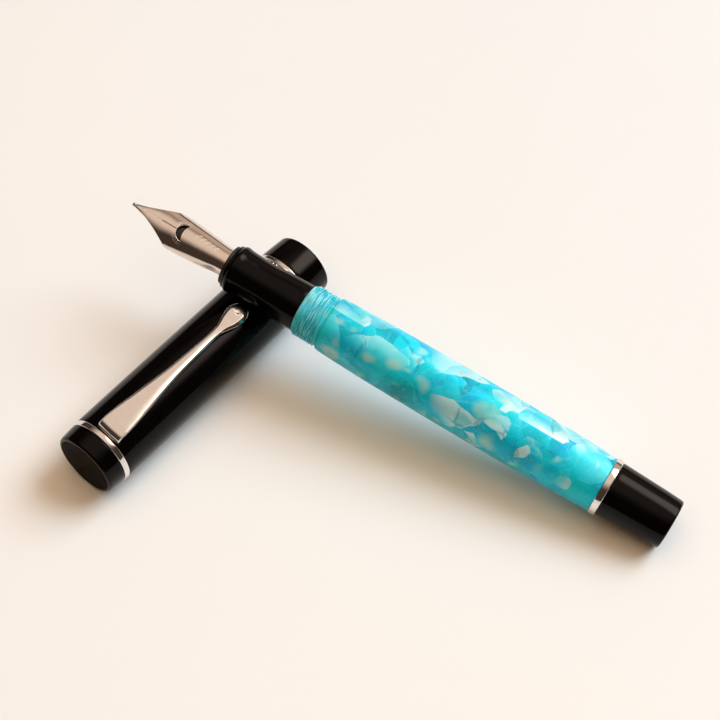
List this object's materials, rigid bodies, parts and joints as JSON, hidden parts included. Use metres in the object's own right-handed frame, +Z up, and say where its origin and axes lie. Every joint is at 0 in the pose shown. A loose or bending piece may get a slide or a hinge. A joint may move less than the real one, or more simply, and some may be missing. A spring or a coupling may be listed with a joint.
{
  "type": "fountain pen",
  "caption": "Uncapped fountain pen leaning across its own cap: turquoise resin barrel, black grip, steel nib, screw converter inside, cap with spring clip.",
  "frame": {"origin": "centre of the bounding box in plan, on the table the pen and cap rest on", "axes": "+X from the nib towards the rear end of the pen in plan, +Z up; the cap lies 79.6 degrees from +X with its clip upwards"},
  "size_m": [0.126, 0.0676, 0.0276],
  "materials": {
    "black_resin": "polished black resin",
    "turquoise_resin": "polished turquoise mosaic resin with pale pearly chips",
    "chrome_trim": "mirror-bright plating",
    "nib_steel": "polished stainless steel",
    "black_moulding": "satin black moulding",
    "clear_plastic": "clear moulded tube",
    "seal_rubber": "matt black seal"
  },
  "bodies": {
    "cap": {"cap_tube": "black_resin", "cap_finial": "black_resin", "cap_ring": "chrome_trim", "cap_inner_cap": "black_moulding", "cap_band": "chrome_trim", "cap_lip": "black_resin"},
    "clip": {"clip": "chrome_trim"},
    "pen": {"barrel": "turquoise_resin", "barrel_ring": "chrome_trim", "barrel_end": "black_resin"},
    "section": {"grip_section": "black_resin"},
    "nib_unit": {"nib_collar": "black_moulding", "feed": "black_moulding", "nib": "nib_steel", "nib_tipping": "nib_steel"},
    "converter": {"converter_mouth": "black_moulding", "converter_tube": "clear_plastic", "converter_ferrule": "chrome_trim"},
    "knob": {"converter_knob": "black_moulding"},
    "piston": {"converter_piston": "seal_rubber", "converter_rod": "black_moulding"}
  },
  "joints": [
    {"name": "clip_flex", "type": "hinge", "parent": "cap", "child": "clip", "pos_m": [-0.04141, -0.02691, 0.0149], "axis": [0.9496, -0.1744, -0.2605], "range_deg": [0, 1.5], "stiffness_Nm_per_rad": 3},
    {"name": "pen_lift", "type": "slide", "parent": "cap", "child": "pen", "axis": [0, 0, 1], "range_m": [0, 0.08]},
    {"name": "section_unscrew", "type": "slide", "parent": "pen", "child": "section", "axis": [-0.9881, 0, 0.1537], "range_m": [0, 0.075]},
    {"name": "nib_unit_unscrew", "type": "slide", "parent": "section", "child": "nib_unit", "axis": [-0.9881, 0, 0.1537], "range_m": [0, 0.022]},
    {"name": "converter_pull", "type": "slide", "parent": "section", "child": "converter", "axis": [0.9881, 0, -0.1537], "range_m": [0, 0.007]},
    {"name": "knob_turn", "type": "hinge", "parent": "converter", "child": "knob", "pos_m": [0.04533, 0.01603, 0.0078], "axis": [0.9881, 0, -0.1537], "range_deg": [0, 1800]},
    {"name": "piston_slide", "type": "slide", "parent": "converter", "child": "piston", "axis": [-0.9881, 0, 0.1537], "range_m": [0, 0.022]}
  ],
  "couplings": [
    {"joint": "knob_turn", "follows": "piston_slide", "rad_per_m": 1427.9}
  ]
}
